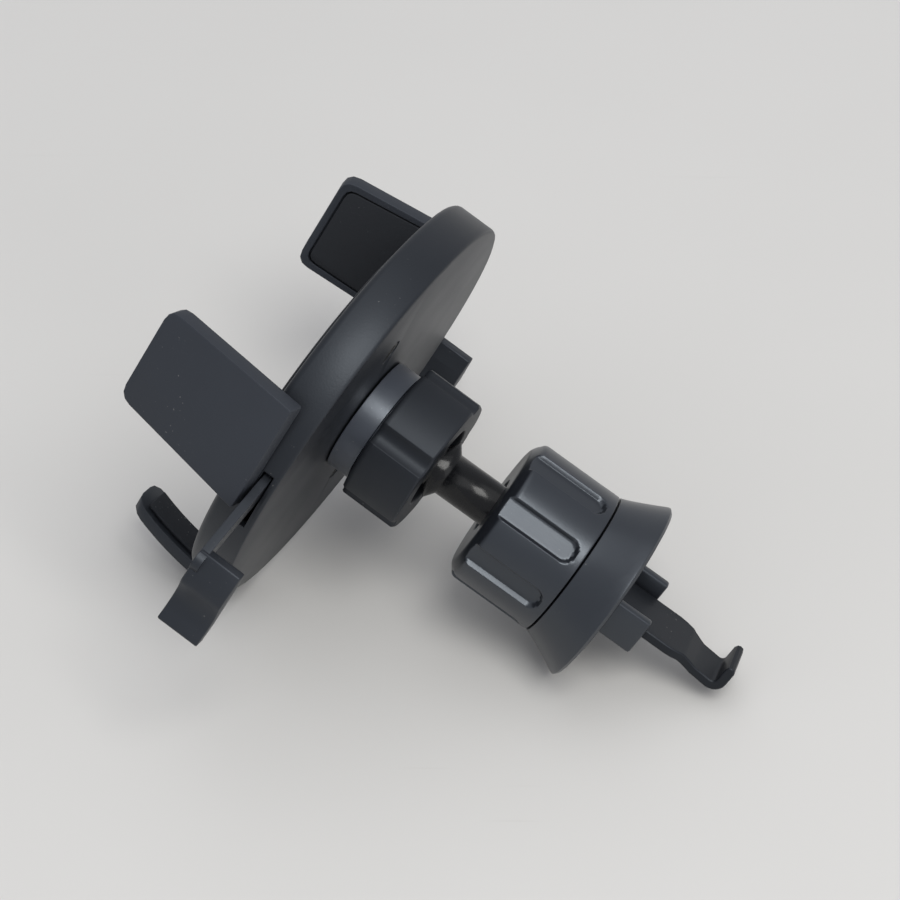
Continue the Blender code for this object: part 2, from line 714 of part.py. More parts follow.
def flute_cutter(turn_deg):
    """A shallow flute along the knob, open at its chamfer and round at its other end."""
    half_width = 2.3
    floor = KNOB_R - 0.75
    start, end = KNOB_X[0] - 2, KNOB_X[1] - 3.2
    outline = [(start, -half_width), (end, -half_width)]
    for turn in (-60, -30, 0, 30, 60):
        outline.append((end + half_width * 0.8 * cos(radians(turn)), half_width * sin(radians(turn))))
    outline += [(end, half_width), (start, half_width)]
    cutter = plate(outline, (floor, floor + 6), "xy")
    cutter.transform(Matrix.Rotation(radians(-turn_deg), 4, "X"))
    return cutter


def build_knob(stem):
    """The fluted knob and the threaded insert that runs on the core."""
    x0, x1 = KNOB_X
    deep, high = KNOB_CHAMFER
    inner_r = KNOB_R - KNOB_WALL
    cup = [(x0, CORE_R + GAP), (x0, KNOB_R - high), (x0 + 0.3, KNOB_R - high), (x0 + deep, KNOB_R)]
    cup += [(x1, KNOB_R), (x1, inner_r), (x0 + 9.4, inner_r), (x0 + 9.4, 8.6)]
    cup += [(x0 + 3.2, 8.6), (x0 + 3.2, CORE_R + GAP)]
    shape = turned(cup, 64)
    cuts = [flute_cutter(FLUTE_TURN_DEG + k * 360 / KNOB_FLUTES) for k in range(KNOB_FLUTES)]
    link("vent_knob", combine(shape, cuts), SATIN, stem, (x0, 0, 0))
    insert = turned(
        [(x0 + 3.5, CORE_R + GAP), (x0 + 3.5, 8.3), (x0 + 9.0, 8.3), (x0 + 9.0, CORE_R + GAP)], 36
    )
    link("knob_insert", insert, BRASS, stem, (x0, 0, 0))


def main():
    """Build the mount."""
    turn = Euler([radians(a) for a in REST_TURN_DEG])
    holder = axes_empty("holder_axes", place=REST_PLACE_MM, turn=turn)
    bend = Matrix.Rotation(radians(BEND_DEG[1]), 3, "Z") @ Matrix.Rotation(radians(BEND_DEG[0]), 3, "Y")
    stem = axes_empty("stem_axes", holder, (BALL_X, 0, 0), bend.to_euler())
    build_body(holder)
    build_arms(holder)
    build_levers(holder)
    build_foot(holder)
    build_socket(holder)
    build_stem(stem)
    build_flare(stem)
    build_knob(stem)


main()
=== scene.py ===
"""The looks of a car phone mount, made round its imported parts.

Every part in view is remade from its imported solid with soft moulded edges. The knob and the lock nut are
turned afresh with their grips, and each finish is worked out by nodes. Turned shapes are drawn in
millimetres along the cradle's or the stem's own axis, which the frame's joints give.
"""

import json
import logging
from collections.abc import Callable, Sequence
from dataclasses import dataclass, field
from enum import Enum
from math import ceil, cos, hypot, pi, radians, sin

import bmesh
import bpy
from mathutils import Matrix, Vector


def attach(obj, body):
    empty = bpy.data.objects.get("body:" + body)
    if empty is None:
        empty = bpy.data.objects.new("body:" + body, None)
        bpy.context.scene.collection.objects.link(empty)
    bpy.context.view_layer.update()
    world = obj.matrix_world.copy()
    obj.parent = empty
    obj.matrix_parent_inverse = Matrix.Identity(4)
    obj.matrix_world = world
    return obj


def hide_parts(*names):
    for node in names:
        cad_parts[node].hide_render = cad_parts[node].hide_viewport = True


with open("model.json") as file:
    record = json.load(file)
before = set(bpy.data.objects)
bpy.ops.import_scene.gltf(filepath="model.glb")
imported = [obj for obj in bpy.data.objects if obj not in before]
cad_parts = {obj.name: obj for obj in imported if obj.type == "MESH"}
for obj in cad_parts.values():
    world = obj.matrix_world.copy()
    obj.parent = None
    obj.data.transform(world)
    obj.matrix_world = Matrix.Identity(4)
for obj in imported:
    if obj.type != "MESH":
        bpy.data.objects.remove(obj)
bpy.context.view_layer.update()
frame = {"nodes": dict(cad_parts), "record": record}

LOG = logging.getLogger("phone_mount")
MM = 0.001
SMOOTH_UNDER_DEG = 34.0
WELD_MM = 0.002
FLAT_WITHIN_DEG = 0.4
BALL_FROM_FRONT_MM = 16.5
COOL_SHEEN = (0.82, 0.90, 1.0, 1.0)
HOUSE_DUST = (0.42, 0.42 * 0.98, 0.42 * 0.94, 1.0)


class Slot(str, Enum):
    """The record's material slots."""

    SATIN = "satin"
    MATTE = "matte"
    GLOSS = "gloss"
    RUBBER = "rubber"
    STEEL = "steel"
    BRASS = "brass"


# ------------------------------------------------------------------ shader arithmetic


class Wire:
    """A node's output that takes part in arithmetic."""

    def __init__(self, bench: "Bench", socket: bpy.types.NodeSocket) -> None:
        """Keep the socket and the bench that it belongs to."""
        self.bench = bench
        self.socket = socket

    def _math(self, operation: str, first: "Wire | float", second: "Wire | float") -> "Wire":
        """Add a Math node.

        Args:
            operation: Blender's name for the operation.
            first: The first operand.
            second: The second operand.

        Returns:
            The node's result.
        """
        return self.bench.node("ShaderNodeMath", {"operation": operation}, {0: first, 1: second})

    def __add__(self, other: "Wire | float") -> "Wire":
        """Self plus other."""
        return self._math("ADD", self, other)

    __radd__ = __add__

    def __sub__(self, other: "Wire | float") -> "Wire":
        """Self minus other."""
        return self._math("SUBTRACT", self, other)

    def __rsub__(self, other: "Wire | float") -> "Wire":
        """Other minus self."""
        return self._math("SUBTRACT", other, self)

    def __mul__(self, other: "Wire | float") -> "Wire":
        """Self times other."""
        return self._math("MULTIPLY", self, other)

    __rmul__ = __mul__

    def ramp(self, low: float, high: float, to_low: float = 0.0, to_high: float = 1.0) -> "Wire":
        """Map a range smoothly onto another.

        Args:
            low: Where the change starts.
            high: Where the change ends.
            to_low: The value up to the start.
            to_high: The value past the end.

        Returns:
            The mapped value.
        """
        return self.bench.node(
            "ShaderNodeMapRange",
            {"interpolation_type": "SMOOTHSTEP"},
            {"Value": self, "From Min": low, "From Max": high, "To Min": to_low, "To Max": to_high},
        )


class Bench:
    """The node tree of one material, with its Principled shader."""

    def __init__(self, name: str) -> None:
        """Start a material of that name."""
        self.material = bpy.data.materials.new(name)
        self.material.use_nodes = True
        self.tree = self.material.node_tree
        self.shader = self.tree.nodes["Principled BSDF"]

    def node(
        self,
        kind: str,
        settings: dict[str, object] | None = None,
        inputs: dict[int | str, object] | None = None,
        output: int | str = 0,
    ) -> Wire:
        """Add one node.

        Args:
            kind: The node's Blender type.
            settings: Properties, which are set first.
            inputs: Values or wires for its sockets.
            output: The output to return.

        Returns:
            That output.
        """
        made = self.tree.nodes.new(kind)
        for key, value in (settings or {}).items():
            setattr(made, key, value)
        for key, value in (inputs or {}).items():
            self.feed(made.inputs[key], value)
        return Wire(self, made.outputs[output])

    def feed(self, socket: bpy.types.NodeSocket, value: object) -> None:
        """Link a wire to a socket, or set its value."""
        if isinstance(value, Wire):
            self.tree.links.new(value.socket, socket)
        else:
            socket.default_value = value

    def set(self, name: str, value: object) -> None:
        """Feed one of the shader's sockets."""
        self.feed(self.shader.inputs[name], value)

    def place(self) -> Wire:
        """The point on the piece, in its own axes and metres."""
        return self.node("ShaderNodeTexCoord", output="Object")

    def noise(
        self,
        scale: float,
        detail: float = 2.0,
        roughness: float = 0.5,
        place: Wire | None = None,
    ) -> Wire:
        """Smooth noise over the piece.

        Args:
            scale: How many features fit in a metre.
            detail: How many finer layers it has.
            roughness: How strong the finer layers are.
            place: The point to read it at, or the piece's own point.

        Returns:
            A value from 0 to 1.
        """
        where = {"Vector": place or self.place(), "Scale": scale, "Detail": detail, "Roughness": roughness}
        return self.node("ShaderNodeTexNoise", {"noise_dimensions": "3D"}, where)

    def cells(self, scale: float) -> Wire:
        """The distance to the nearest of scattered points, as for a grained mould."""
        return self.node("ShaderNodeTexVoronoi", {}, {"Vector": self.place(), "Scale": scale})

    def blend(self, amount: Wire | float, first: object, second: object) -> Wire:
        """Mix two colours.

        Args:
            amount: How much of the second one shows.
            first: The colour at 0.
            second: The colour at 1.

        Returns:
            The mixed colour.
        """
        made = self.tree.nodes.new("ShaderNodeMix")
        made.data_type = "RGBA"
        for key, value in ((0, amount), (6, first), (7, second)):
            self.feed(made.inputs[key], value)
        return Wire(self, made.outputs[2])

    def edge(self, width_mm: float) -> tuple[Wire, Wire]:
        """Find the piece's edges.

        Args:
            width_mm: How far an edge reaches.

        Returns:
            The softened normal, and a mask that is 1 on an edge.
        """
        soft = self.node("ShaderNodeBevel", {"samples": 6}, {"Radius": width_mm * MM})
        flat = self.node("ShaderNodeNewGeometry", output="Normal")
        agree = self.node("ShaderNodeVectorMath", {"operation": "DOT_PRODUCT"}, {0: soft, 1: flat}, "Value")
        return soft, agree.ramp(0.995, 0.90, 0.0, 1.0)


def grey(level: float, tint: Sequence[float] = (1.0, 1.0, 1.0)) -> tuple[float, float, float, float]:
    """A colour from a level and a tint."""
    return (level * tint[0], level * tint[1], level * tint[2], 1.0)


# ------------------------------------------------------------------ finishes


@dataclass(frozen=True)
class Moulded:
    """Moulded plastic with a spark-eroded grain, flow mottling, rubbed edges and a little dust."""

    name: str
    slot: Slot
    level: float
    tint: tuple[float, float, float] = (0.82, 0.92, 1.18)
    roughness: float = 0.5
    grain_per_m: float = 2600.0
    grain_mm: float = 0.012
    rubbed: float = 0.35
    dust: float = 0.25
    shine: float = 0.5
    edge_mm: float = 0.22
    mottle_per_m: float = 90.0
    cloud_per_m: float = 22.0
    patch_per_m: float = 70.0
    speck_per_m: float = 1900.0
    mottle: float = 0.14
    rubbed_gain: float = 2.4
    bump: float = 0.55

    def make(self) -> bpy.types.Material:
        """Make the material."""
        bench = Bench(self.name)
        soft, edge = bench.edge(self.edge_mm)
        mottle = bench.noise(self.mottle_per_m, 3.0)
        cloud = bench.noise(self.cloud_per_m, 2.0)
        speck = bench.noise(self.speck_per_m, 1.0).ramp(0.74, 0.79)
        patch = bench.noise(self.patch_per_m, 2.0).ramp(0.52, 0.66)
        dusty = speck * patch * self.dust
        handled = edge * mottle.ramp(0.35, 0.7) * self.rubbed
        darker = grey(self.level * (1 - self.mottle), self.tint)
        lighter = grey(self.level * (1 + self.mottle), self.tint)
        base = bench.blend(mottle, darker, lighter)
        worn = bench.blend(handled, base, grey(self.level * self.rubbed_gain, self.tint))
        bench.set("Base Color", bench.blend(dusty, worn, HOUSE_DUST))
        drift = (mottle - 0.5) * 0.10 + (cloud - 0.5) * 0.14
        bench.set("Roughness", drift + self.roughness + dusty * 0.3 - handled * 0.12)
        bench.set("Specular IOR Level", self.shine)
        bench.set("Specular Tint", COOL_SHEEN)
        grain = bench.cells(self.grain_per_m) + bench.noise(self.grain_per_m * 1.7, 2.0) * 0.6
        bump = bench.node(
            "ShaderNodeBump",
            {},
            {"Strength": self.bump, "Distance": self.grain_mm * MM, "Height": grain, "Normal": soft},
        )
        bench.set("Normal", bump)
        return bench.material


@dataclass(frozen=True)
class Polished:
    """Polished plastic: a smooth skin with faint sink marks and fine rub marks."""

    name: str
    slot: Slot
    level: float
    tint: tuple[float, float, float] = (0.88, 0.94, 1.14)
    roughness: float = 0.2
    shine: float = 0.25
    coat: float = 0.12
    coat_roughness: float = 0.12
    edge_mm: float = 0.18
    sink_per_m: float = 160.0
    rub_per_m: float = 1400.0
    sink_mm: float = 0.03

    def make(self) -> bpy.types.Material:
        """Make the material."""
        bench = Bench(self.name)
        soft, edge = bench.edge(self.edge_mm)
        sink = bench.noise(self.sink_per_m, 2.0)
        rub = bench.noise(self.rub_per_m, 4.0, 0.7)
        base = bench.blend(sink, grey(self.level * 0.9, self.tint), grey(self.level * 1.1, self.tint))
        bench.set("Base Color", bench.blend(edge * 0.3, base, grey(self.level * 2.2, self.tint)))
        bench.set("Roughness", rub.ramp(0.4, 0.75, self.roughness, self.roughness + 0.16))
        bench.set("Specular IOR Level", self.shine)
        bench.set("Coat Weight", self.coat)
        bench.set("Coat Roughness", self.coat_roughness)
        height = sink + rub * 0.06
        bump = bench.node(
            "ShaderNodeBump",
            {},
            {"Strength": 0.4, "Distance": self.sink_mm * MM, "Height": height, "Normal": soft},
        )
        bench.set("Normal", bump)
        return bench.material


@dataclass(frozen=True)
class Rubber:
    """Soft rubber: dull, with a pebbled skin that holds a little dust."""

    name: str
    slot: Slot
    level: float
    tint: tuple[float, float, float] = (0.90, 0.95, 1.10)
    roughness: float = 0.78
    shine: float = 0.35
    edge_mm: float = 0.25
    pebble_per_m: float = 1500.0
    pebble_mm: float = 0.03
    bloom_per_m: float = 55.0
    lint_per_m: float = 2300.0
    lint: float = 0.5

    def make(self) -> bpy.types.Material:
        """Make the material."""
        bench = Bench(self.name)
        soft, edge = bench.edge(self.edge_mm)
        pebble = bench.cells(self.pebble_per_m)
        bloom = bench.noise(self.bloom_per_m, 3.0)
        lint = bench.noise(self.lint_per_m, 1.0).ramp(0.72, 0.78) * bloom.ramp(0.5, 0.7) * self.lint
        base = bench.blend(bloom, grey(self.level * 0.85, self.tint), grey(self.level * 1.2, self.tint))
        paler = bench.blend(edge * 0.25, base, grey(self.level * 2.0, self.tint))
        bench.set("Base Color", bench.blend(lint, paler, grey(0.35)))
        bench.set("Roughness", bloom * 0.12 + (self.roughness - 0.06))
        bench.set("Specular IOR Level", self.shine)
        bench.set("Specular Tint", COOL_SHEEN)
        bump = bench.node(
            "ShaderNodeBump",
            {},
            {"Strength": 0.7, "Distance": self.pebble_mm * MM, "Height": pebble, "Normal": soft},
        )
        bench.set("Normal", bump)
        return bench.material


@dataclass(frozen=True)
class Metal:
    """Machined metal with fine tool marks and a dulled edge."""

    name: str
    slot: Slot
    colour: tuple[float, float, float, float]
    roughness: float = 0.3
    edge_mm: float = 0.1
    marks_per_m: float = 3000.0
    marks_mm: float = 0.01
    stain_per_m: float = 240.0
    stained: float = 0.72

    def make(self) -> bpy.types.Material:
        """Make the material."""
        bench = Bench(self.name)
        soft, edge = bench.edge(self.edge_mm)
        marks = bench.noise(self.marks_per_m, 3.0, 0.65)
        stain = bench.noise(self.stain_per_m, 2.0)
        dark = tuple(c * self.stained for c in self.colour[:3]) + (1.0,)
        bench.set("Base Color", bench.blend(stain.ramp(0.4, 0.75) * 0.5, self.colour, dark))
        bench.set("Metallic", 1.0)
        bench.set("Roughness", marks * 0.16 + self.roughness - edge * 0.06)
        bump = bench.node(
            "ShaderNodeBump",
            {},
            {"Strength": 0.3, "Distance": self.marks_mm * MM, "Height": marks, "Normal": soft},
        )
        bench.set("Normal", bump)
        return bench.material


@dataclass(frozen=True)
class TableTop:
    """A pale, lightly used worktop."""

    name: str = "worktop"
    cloud_per_m: float = 7.0
    fine_per_m: float = 420.0
    patch_per_m: float = 9.0
    scratch_per_m: float = 14.0
    scratch_turn_deg: float = 38.0
    scratch_stretch: float = 26.0
    scratched: float = 0.22
    roughness: float = 0.46
    shine: float = 0.3

    def make(self) -> bpy.types.Material:
        """Make the material."""
        bench = Bench(self.name)
        cloud = bench.noise(self.cloud_per_m, 3.0)
        fine = bench.noise(self.fine_per_m, 3.0)
        stretch = bench.node(
            "ShaderNodeMapping",
            {"vector_type": "POINT"},
            {
                "Vector": bench.place(),
                "Rotation": (0.0, 0.0, radians(self.scratch_turn_deg)),
                "Scale": (1.0, self.scratch_stretch, 1.0),
            },
        )
        lines = bench.noise(self.scratch_per_m, 2.0, place=stretch).ramp(0.70, 0.76)
        scratch = lines * bench.noise(self.patch_per_m).ramp(0.5, 0.7)
        pale = bench.blend(cloud, grey(0.60, (1.0, 0.985, 0.955)), grey(0.67, (1.0, 0.985, 0.96)))
        marked = bench.blend(scratch * self.scratched, pale, grey(0.42, (1.0, 0.95, 0.88)))
        bench.set("Base Color", marked)
        bench.set("Roughness", fine * 0.08 + self.roughness)
        bench.set("Specular IOR Level", self.shine)
        return bench.material


class Finishes:
    """Every finish of the mount, each made once."""

    def __init__(self) -> None:
        """Make the materials."""
        self.body = Moulded("body_plastic", Slot.SATIN, 0.012, roughness=0.44, shine=0.42)
        # Painted highlight: the boss's base colour is set lighter than the body plastic's, though both are
        # the same satin; its higher shine and lower roughness are its own gloss.
        self.boss = Moulded("boss_plastic_painted_highlight", Slot.SATIN, 0.045, roughness=0.34, grain_mm=0.004, shine=1.0)
        self.arm = Moulded(
            "arm_plastic",
            Slot.MATTE,
            0.026,
            roughness=0.58,
            grain_per_m=3200,
            grain_mm=0.014,
        )
        self.grip = Moulded("knob_plastic", Slot.SATIN, 0.013, roughness=0.32, grain_mm=0.007, shine=0.8)
        self.nut = Moulded("nut_plastic", Slot.SATIN, 0.012, roughness=0.48, grain_mm=0.008, shine=0.4)
        self.lever = Moulded("lever_plastic", Slot.SATIN, 0.015, roughness=0.42, grain_mm=0.008)
        self.strip = Moulded("strip_plastic", Slot.SATIN, 0.008, roughness=0.42, grain_mm=0.006, shine=0.35)
        self.neck = Polished("neck_plastic", Slot.GLOSS, 0.004)
        self.pad = Rubber("pad_rubber", Slot.RUBBER, 0.018)
        self.steel = Metal("plain_steel", Slot.STEEL, grey(0.56))
        self.screw = Metal("blackened_screw", Slot.STEEL, grey(0.035), 0.42)
        self.brass = Metal("turned_brass", Slot.BRASS, (0.70, 0.52, 0.25, 1.0))
        self.made = {finish.name: finish.make() for finish in list(vars(self).values())}

    def of(self, finish: Moulded | Polished | Rubber | Metal) -> bpy.types.Material:
        """The material of a finish."""
        return self.made[finish.name]


# ------------------------------------------------------------------ mesh work


@dataclass(frozen=True)
class Axes:
    """A set of axes in millimetres that a shape is drawn in."""

    centre: Vector
    along: Vector
    up: Vector

    @property
    def matrix(self) -> Matrix:
        """The move from these axes to the frame's metres."""
        across = self.along.cross(self.up)
        turn = Matrix((self.along, self.up, across)).transposed().to_4x4()
        return Matrix.Translation(self.centre) @ turn @ Matrix.Scale(MM, 4)


def joint(name: str) -> dict:
    """The frame's joint of that name."""
    return next(item for item in frame["record"]["behaviour"]["joints"] if item["name"] == name)


def cradle_axes() -> Axes:
    """The cradle's axes: back along its middle line from its front face, and up."""
    nut = joint("nut_turn")
    along = Vector(nut["axis"]).normalized()
    across = Vector(joint("arm_slide_left_out")["axis"]).normalized()
    centre = Vector(nut["pos_m"]) - along * BALL_FROM_FRONT_MM * MM
    return Axes(centre, along, across.cross(along))


def stem_axes() -> Axes:
    """The stem's axes from the ball's centre, bent from the cradle's."""
    cradle = cradle_axes()
    along = Vector(joint("flare_press")["axis"]).normalized()
    bend = cradle.along.rotation_difference(along)
    up = bend @ cradle.up
    return Axes(Vector(joint("nut_turn")["pos_m"]), along, (up - along * up.dot(along)).normalized())


def smooth(mesh: bpy.types.Mesh) -> None:
    """Shade a mesh smooth, apart from its sharp edges."""
    mesh.shade_smooth()
    mesh.set_sharp_from_angle(angle=radians(SMOOTH_UNDER_DEG))


def remade(node: str, soft_mm: float = 0.0, steps: int = 2) -> bpy.types.Object:
    """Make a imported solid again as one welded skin, with its sharp edges softened.

    Args:
        node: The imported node.
        soft_mm: How far each sharp edge is rounded, or 0 to keep them.
        steps: The segments of each rounded edge.

    Returns:
        The new piece, in place.
    """
    work = bmesh.new()
    work.from_mesh(frame["nodes"][node].data)
    bmesh.ops.remove_doubles(work, verts=work.verts, dist=WELD_MM * MM)
    bmesh.ops.dissolve_limit(work, angle_limit=radians(FLAT_WITHIN_DEG), verts=work.verts, edges=work.edges)
    bmesh.ops.recalc_face_normals(work, faces=work.faces)
    mesh = bpy.data.meshes.new(f"{node}_skin")
    work.to_mesh(mesh)
    work.free()
    made = bpy.data.objects.new(f"{node}_skin", mesh)
    bpy.context.scene.collection.objects.link(made)
    smooth(mesh)
    if soft_mm:
        rounding = made.modifiers.new("soft_edges", "BEVEL")
        rounding.width = soft_mm * MM
        rounding.segments = steps
        rounding.limit_method = "ANGLE"
        rounding.angle_limit = radians(SMOOTH_UNDER_DEG)
        rounding.harden_normals = True
        rounding.miter_outer = "MITER_ARC"
    return made


def rounded_profile(
    points: Sequence[tuple[float, float, float]],
    steps: int = 5,
) -> list[tuple[float, float]]:
    """Round the corners of a closed profile.

    Args:
        points: Each corner's place along the axis, its radius and how far it is rounded.
        steps: The segments of a rounded corner.

    Returns:
        The profile's points.
    """
    made = []
    for index, (x, r, size) in enumerate(points):
        here = Vector((x, r))
        before = Vector(points[index - 1][:2]) - here
        after = Vector(points[(index + 1) % len(points)][:2]) - here
        if not size:
            made.append((x, r))
            continue
        start = here + before.normalized() * min(size, before.length * 0.49)
        end = here + after.normalized() * min(size, after.length * 0.49)
        for step in range(steps + 1):
            t = step / steps
            point = (1 - t) ** 2 * start + 2 * t * (1 - t) * here + t * t * end
            made.append((point.x, point.y))
    return made


def spaced(points: Sequence[tuple[float, float]], longest: float) -> list[tuple[float, float]]:
    """A closed profile with its long stretches divided."""
    made = []
    for (x0, r0), (x1, r1) in zip(points, [*points[1:], points[0]]):
        count = max(1, ceil(hypot(x1 - x0, r1 - r0) / longest))
        made += [(x0 + (x1 - x0) * i / count, r0 + (r1 - r0) * i / count) for i in range(count)]
    return made


def turned(
    name: str,
    axes: Axes,
    profile: Sequence[tuple[float, float]],
    radius_at: Callable[[float, float, float], float],
    segments: int,
) -> bpy.types.Object:
    """Turn a closed profile about an axis, with a grip cut into it.

    Args:
        name: The piece's name.
        axes: The axes that it is turned about.
        profile: The points of a closed ring section, as places along the axis and radii.
        radius_at: The radius for a place, a radius and an angle in degrees.
        segments: The steps round the axis.

    Returns:
        The piece, in place.
    """
    work = bmesh.new()
    rows = []
    for step in range(segments):
        angle = 360 * step / segments
        turn = radians(angle)
        row = []
        for x, r in profile:
            radius = radius_at(x, r, angle)
            row.append(work.verts.new((x, radius * sin(turn), radius * cos(turn))))
        rows.append(row)
    for step, row in enumerate(rows):
        following = rows[(step + 1) % segments]
        for i in range(len(profile)):
            j = (i + 1) % len(profile)
            work.faces.new((row[i], row[j], following[j], following[i]))
    bmesh.ops.recalc_face_normals(work, faces=work.faces)
    mesh = bpy.data.meshes.new(name)
    work.to_mesh(mesh)
    work.free()
    mesh.transform(axes.matrix)
    smooth(mesh)
    made = bpy.data.objects.new(name, mesh)
    bpy.context.scene.collection.objects.link(made)
    return made


def eased(value: float) -> float:
    """A smooth step from 0 to 1."""
    t = max(0.0, min(1.0, value))
    return t * t * (3 - 2 * t)


# ------------------------------------------------------------------ sub-assemblies


@dataclass
class SubAssembly:
    """Pieces that ride on one body."""

    finishes: Finishes
    body: str
    pieces: list[bpy.types.Object] = field(default_factory=list)

    def put(
        self,
        piece: bpy.types.Object,
        node: str,
        finish: Moulded | Polished | Rubber | Metal,
    ) -> None:
        """Give a piece its finish and its body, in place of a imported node.

        Args:
            piece: The new piece.
            node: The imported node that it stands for.
            finish: Its finish.
        """
        piece.data.materials.clear()
        piece.data.materials.append(self.finishes.of(finish))
        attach(piece, self.body)
        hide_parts(node)
        self.pieces.append(piece)
        LOG.info("%s rides on %s in %s", piece.name, self.body, finish.name)

    def dress(self, node: str, finish: Moulded | Polished | Rubber | Metal) -> None:
        """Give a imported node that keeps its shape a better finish.

        Args:
            node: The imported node.
            finish: Its finish.
        """
        for slot in frame["nodes"][node].material_slots:
            slot.material = self.finishes.of(finish)
        LOG.info("%s keeps its shape in %s", node, finish.name)


@dataclass
class Cradle(SubAssembly):
    """The round body: covers, front pad, screws and the boss behind."""

    edge_mm: float = 0.22

    def build(self) -> None:
        """Remake what shows and dress what lies inside."""
        look = self.finishes
        self.put(remade("rear_cover", self.edge_mm), "rear_cover", look.body)
        self.put(remade("front_cover", 0.12), "front_cover", look.body)
        self.put(remade("front_pad"), "front_pad", look.pad)
        self.put(remade("socket_boss", 0.10), "socket_boss", look.boss)
        for number in (1, 2):
            self.put(remade(f"cover_screw_{number}", 0.06), f"cover_screw_{number}", look.screw)
        self.dress("pinion_pin", look.steel)
        for kind in ("pin", "spring"):
            for side in ("left", "right"):
                self.dress(f"lever_{kind}_{side}", look.steel)


@dataclass
class GripArm(SubAssembly):
    """One arm with its pad and the toothed slide that carries it."""

    side: str = "left"

    def build(self) -> None:
        """Remake the arm, its pad and its slide."""
        self.put(remade(f"arm_{self.side}", 0.12), f"arm_{self.side}", self.finishes.arm)
        self.put(remade(f"arm_pad_{self.side}"), f"arm_pad_{self.side}", self.finishes.pad)
        self.put(remade(f"arm_slide_{self.side}", 0.08), f"arm_slide_{self.side}", self.finishes.strip)


@dataclass
class SqueezeLever(SubAssembly):
    """One release lever with its thumb pad."""

    side: str = "left"

    def build(self) -> None:
        """Remake the lever."""
        node = f"release_lever_{self.side}"
        self.put(remade(node, 0.14), node, self.finishes.lever)


@dataclass
class Foot(SubAssembly):
    """The sliding bottom foot."""

    def build(self) -> None:
        """Remake the foot and its soft strip."""
        self.put(remade("bottom_foot"), "bottom_foot", self.finishes.lever)
        self.put(remade("foot_pad"), "foot_pad", self.finishes.pad)


@dataclass
class LockNut(SubAssembly):
    """The lobed nut round the ball."""

    start: float = 12.9
    end: float = 23.4
    radius: float = 12.6
    bore: float = 10.4
    mouth: float = 7.4
    shoulder: float = 19.5
    lobes: int = 5
    land_dip: float = 0.35
    groove_deg: float = 17.0
    groove_depth: float = 1.0
    groove_power: float = 0.7
    turn_deg: float = 60.8
    chamfer: float = 0.4
    end_step: float = 0.5
    start_soft: float = 0.35
    edge_slope: float = 0.6
    spacing: float = 0.7
    segments: int = 360

    def lobed(self, angle: float) -> float:
        """The outer radius at an angle, in degrees."""
        pitch = 360 / self.lobes
        land = pitch - self.groove_deg
        offset = (angle - self.turn_deg + pitch / 2) % pitch - pitch / 2
        if abs(offset) <= land / 2:
            return self.radius - self.land_dip * cos(radians(offset * 180 / land))
        into = (abs(offset) - land / 2) / self.groove_deg
        return self.radius - self.groove_depth * sin(pi * into) ** self.groove_power

    def build(self) -> None:
        """Turn the nut."""
        lip = self.end - self.chamfer
        section = [
            (self.start, self.bore, 0.2),
            (self.start, self.radius, self.start_soft),
            (lip, self.radius, 0.2),
            (self.end, self.radius - self.end_step, 0.2),
            (self.end, self.mouth, 0.3),
            (self.shoulder, self.mouth, 0.0),
            (self.shoulder, self.bore, 0.0),
        ]
        profile = spaced(rounded_profile(section), self.spacing)

        def radius_at(x: float, r: float, angle: float) -> float:
            """Keep a point inside the lobed outline."""
            past_edge = max(0.0, self.start + self.start_soft - x, x - lip)
            return min(r, self.lobed(angle) - past_edge * self.edge_slope)

        piece = turned("lock_nut_turned", cradle_axes(), profile, radius_at, self.segments)
        self.put(piece, "lock_nut", self.finishes.nut)


@dataclass
class Stem(SubAssembly):
    """The ball and neck with the vent strip pinned in its core."""

    def build(self) -> None:
        """Remake the stem and the strip."""
        self.put(remade("ball_stem"), "ball_stem", self.finishes.neck)
        self.put(remade("hook_strip"), "hook_strip", self.finishes.strip)
        self.dress("hook_key", self.finishes.steel)


@dataclass
class Seat(SubAssembly):
    """The split ring between ball and nut."""

    def build(self) -> None:
        """Dress the ring."""
        self.dress("ball_seat", self.finishes.neck)


@dataclass
class Gear(SubAssembly):
    """The pinion that couples the arms."""

    def build(self) -> None:
        """Dress the pinion."""
        self.dress("pinion", self.finishes.strip)


@dataclass
class Flare(SubAssembly):
    """The flared base that presses on the vent."""

    def build(self) -> None:
        """Remake the base and its soft ring."""
        self.put(remade("flare_base", 0.10), "flare_base", self.finishes.grip)
        self.put(remade("flare_pad", 0.06), "flare_pad", self.finishes.pad)


